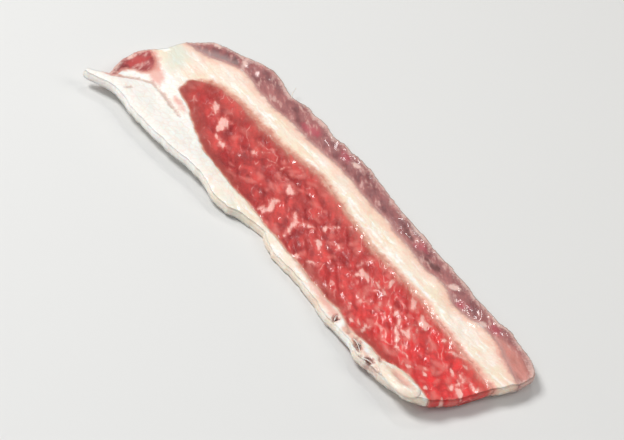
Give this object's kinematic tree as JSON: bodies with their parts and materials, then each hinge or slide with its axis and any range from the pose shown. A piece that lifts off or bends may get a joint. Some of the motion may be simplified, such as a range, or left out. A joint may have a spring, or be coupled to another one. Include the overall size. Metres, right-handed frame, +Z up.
{
  "type": "raw fatty beef slice",
  "caption": "Thin slice of raw fatty beef for hot pot: a long marbled lean muscle inside a horseshoe of fat, with a thin outer muscle along one side",
  "frame": {"origin": "on the surface that the slice lies on, under the middle of its bounding box", "axes": "+Z up, +Y along the slice to its back end where the fat closes round the lean, +X across it to the outer muscle"},
  "size_m": [0.0476, 0.125, 0.0052],
  "materials": {
    "fat": "moist raw fat, ivory, whiter on the left side, softly glossy",
    "lean_main": "moist raw lean beef, red with fine pale marbling, glossy",
    "lean_outer": "moist raw lean beef, dull mauve brown with pale membrane, softly glossy",
    "lean_corner": "moist raw lean beef, red with pale rims, softly glossy"
  },
  "bodies": {
    "root": {"fat": "fat", "mainMuscle": "lean_main", "outerMuscle": "lean_outer", "cornerMuscle": "lean_corner"}
  },
  "joints": []
}
